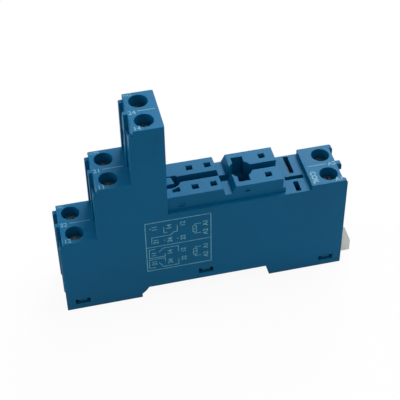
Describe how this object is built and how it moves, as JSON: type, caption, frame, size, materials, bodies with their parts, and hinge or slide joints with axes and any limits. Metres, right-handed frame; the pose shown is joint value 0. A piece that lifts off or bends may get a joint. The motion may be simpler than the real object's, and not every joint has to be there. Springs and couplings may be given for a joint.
{
  "type": "relay socket",
  "caption": "Narrow plug-in relay socket for a 35 mm rail, with stepped screw terminals, a tall terminal tower, a raised pin seat and a sprung rail clip.",
  "frame": {"origin": "on the rail seat plane, midway along the housing and midway across its thickness", "axes": "+X along the socket towards the coil terminals, +Y through its thickness to the back face, +Z away from the rail"},
  "size_m": [0.0828, 0.015, 0.0607],
  "materials": {
    "housing_plastic": "satin",
    "cover_plastic": "satin",
    "clip_plastic": "matte",
    "screw_steel": "zinc plated",
    "clamp_steel": "zinc plated",
    "contact_brass": "bare"
  },
  "bodies": {
    "socket": {"housing": "housing_plastic", "base_cover": "cover_plastic", "contact_bar_12": "contact_brass", "contact_bar_22": "contact_brass", "contact_bar_11": "contact_brass", "contact_bar_21": "contact_brass", "contact_bar_14": "contact_brass", "contact_bar_24": "contact_brass", "contact_bar_A1": "contact_brass", "contact_bar_A2": "contact_brass", "pin_contact_12": "contact_brass", "pin_contact_22": "contact_brass", "pin_contact_11": "contact_brass", "pin_contact_21": "contact_brass", "pin_contact_14": "contact_brass", "pin_contact_24": "contact_brass", "pin_contact_A1": "contact_brass", "pin_contact_A2": "contact_brass"},
    "rail_clip": {"rail_clip": "clip_plastic"},
    "screw_12": {"terminal_screw_12": "screw_steel"},
    "clamp_12": {"box_clamp_12": "clamp_steel"},
    "screw_22": {"terminal_screw_22": "screw_steel"},
    "clamp_22": {"box_clamp_22": "clamp_steel"},
    "screw_11": {"terminal_screw_11": "screw_steel"},
    "clamp_11": {"box_clamp_11": "clamp_steel"},
    "screw_21": {"terminal_screw_21": "screw_steel"},
    "clamp_21": {"box_clamp_21": "clamp_steel"},
    "screw_14": {"terminal_screw_14": "screw_steel"},
    "clamp_14": {"box_clamp_14": "clamp_steel"},
    "screw_24": {"terminal_screw_24": "screw_steel"},
    "clamp_24": {"box_clamp_24": "clamp_steel"},
    "screw_A1": {"terminal_screw_A1": "screw_steel"},
    "clamp_A1": {"box_clamp_A1": "clamp_steel"},
    "screw_A2": {"terminal_screw_A2": "screw_steel"},
    "clamp_A2": {"box_clamp_A2": "clamp_steel"}
  },
  "joints": [
    {"name": "rail_clip_slide", "type": "slide", "parent": "socket", "child": "rail_clip", "axis": [1, 0, 0], "range_m": [0, 0.0025], "stiffness_N_per_m": 2000},
    {"name": "screw_12_turn", "type": "hinge", "parent": "socket", "child": "screw_12", "pos_m": [-0.0347, -0.00385, 0.0206], "axis": [0, 0, 1], "range_deg": [-1800, 0]},
    {"name": "clamp_12_lift", "type": "slide", "parent": "socket", "child": "clamp_12", "axis": [0, 0, 1], "range_m": [0, 0.0025]},
    {"name": "screw_22_turn", "type": "hinge", "parent": "socket", "child": "screw_22", "pos_m": [-0.0347, 0.00385, 0.0206], "axis": [0, 0, 1], "range_deg": [-1800, 0]},
    {"name": "clamp_22_lift", "type": "slide", "parent": "socket", "child": "clamp_22", "axis": [0, 0, 1], "range_m": [0, 0.0025]},
    {"name": "screw_11_turn", "type": "hinge", "parent": "socket", "child": "screw_11", "pos_m": [-0.0245, -0.00385, 0.0379], "axis": [0, 0, 1], "range_deg": [-1800, 0]},
    {"name": "clamp_11_lift", "type": "slide", "parent": "socket", "child": "clamp_11", "axis": [0, 0, 1], "range_m": [0, 0.0025]},
    {"name": "screw_21_turn", "type": "hinge", "parent": "socket", "child": "screw_21", "pos_m": [-0.0245, 0.00385, 0.0379], "axis": [0, 0, 1], "range_deg": [-1800, 0]},
    {"name": "clamp_21_lift", "type": "slide", "parent": "socket", "child": "clamp_21", "axis": [0, 0, 1], "range_m": [0, 0.0025]},
    {"name": "screw_14_turn", "type": "hinge", "parent": "socket", "child": "screw_14", "pos_m": [-0.0144, -0.00385, 0.0553], "axis": [0, 0, 1], "range_deg": [-1800, 0]},
    {"name": "clamp_14_lift", "type": "slide", "parent": "socket", "child": "clamp_14", "axis": [0, 0, 1], "range_m": [0, 0.0025]},
    {"name": "screw_24_turn", "type": "hinge", "parent": "socket", "child": "screw_24", "pos_m": [-0.0144, 0.00385, 0.0553], "axis": [0, 0, 1], "range_deg": [-1800, 0]},
    {"name": "clamp_24_lift", "type": "slide", "parent": "socket", "child": "clamp_24", "axis": [0, 0, 1], "range_m": [0, 0.0025]},
    {"name": "screw_A1_turn", "type": "hinge", "parent": "socket", "child": "screw_A1", "pos_m": [0.035, -0.00385, 0.0265], "axis": [0, 0, 1], "range_deg": [-1800, 0]},
    {"name": "clamp_A1_lift", "type": "slide", "parent": "socket", "child": "clamp_A1", "axis": [0, 0, 1], "range_m": [0, 0.0025]},
    {"name": "screw_A2_turn", "type": "hinge", "parent": "socket", "child": "screw_A2", "pos_m": [0.035, 0.00385, 0.0265], "axis": [0, 0, 1], "range_deg": [-1800, 0]},
    {"name": "clamp_A2_lift", "type": "slide", "parent": "socket", "child": "clamp_A2", "axis": [0, 0, 1], "range_m": [0, 0.0025]}
  ],
  "couplings": [
    {"joint": "screw_12_turn", "follows": "clamp_12_lift", "rad_per_m": -12566},
    {"joint": "screw_22_turn", "follows": "clamp_22_lift", "rad_per_m": -12566},
    {"joint": "screw_11_turn", "follows": "clamp_11_lift", "rad_per_m": -12566},
    {"joint": "screw_21_turn", "follows": "clamp_21_lift", "rad_per_m": -12566},
    {"joint": "screw_14_turn", "follows": "clamp_14_lift", "rad_per_m": -12566},
    {"joint": "screw_24_turn", "follows": "clamp_24_lift", "rad_per_m": -12566},
    {"joint": "screw_A1_turn", "follows": "clamp_A1_lift", "rad_per_m": -12566},
    {"joint": "screw_A2_turn", "follows": "clamp_A2_lift", "rad_per_m": -12566}
  ]
}
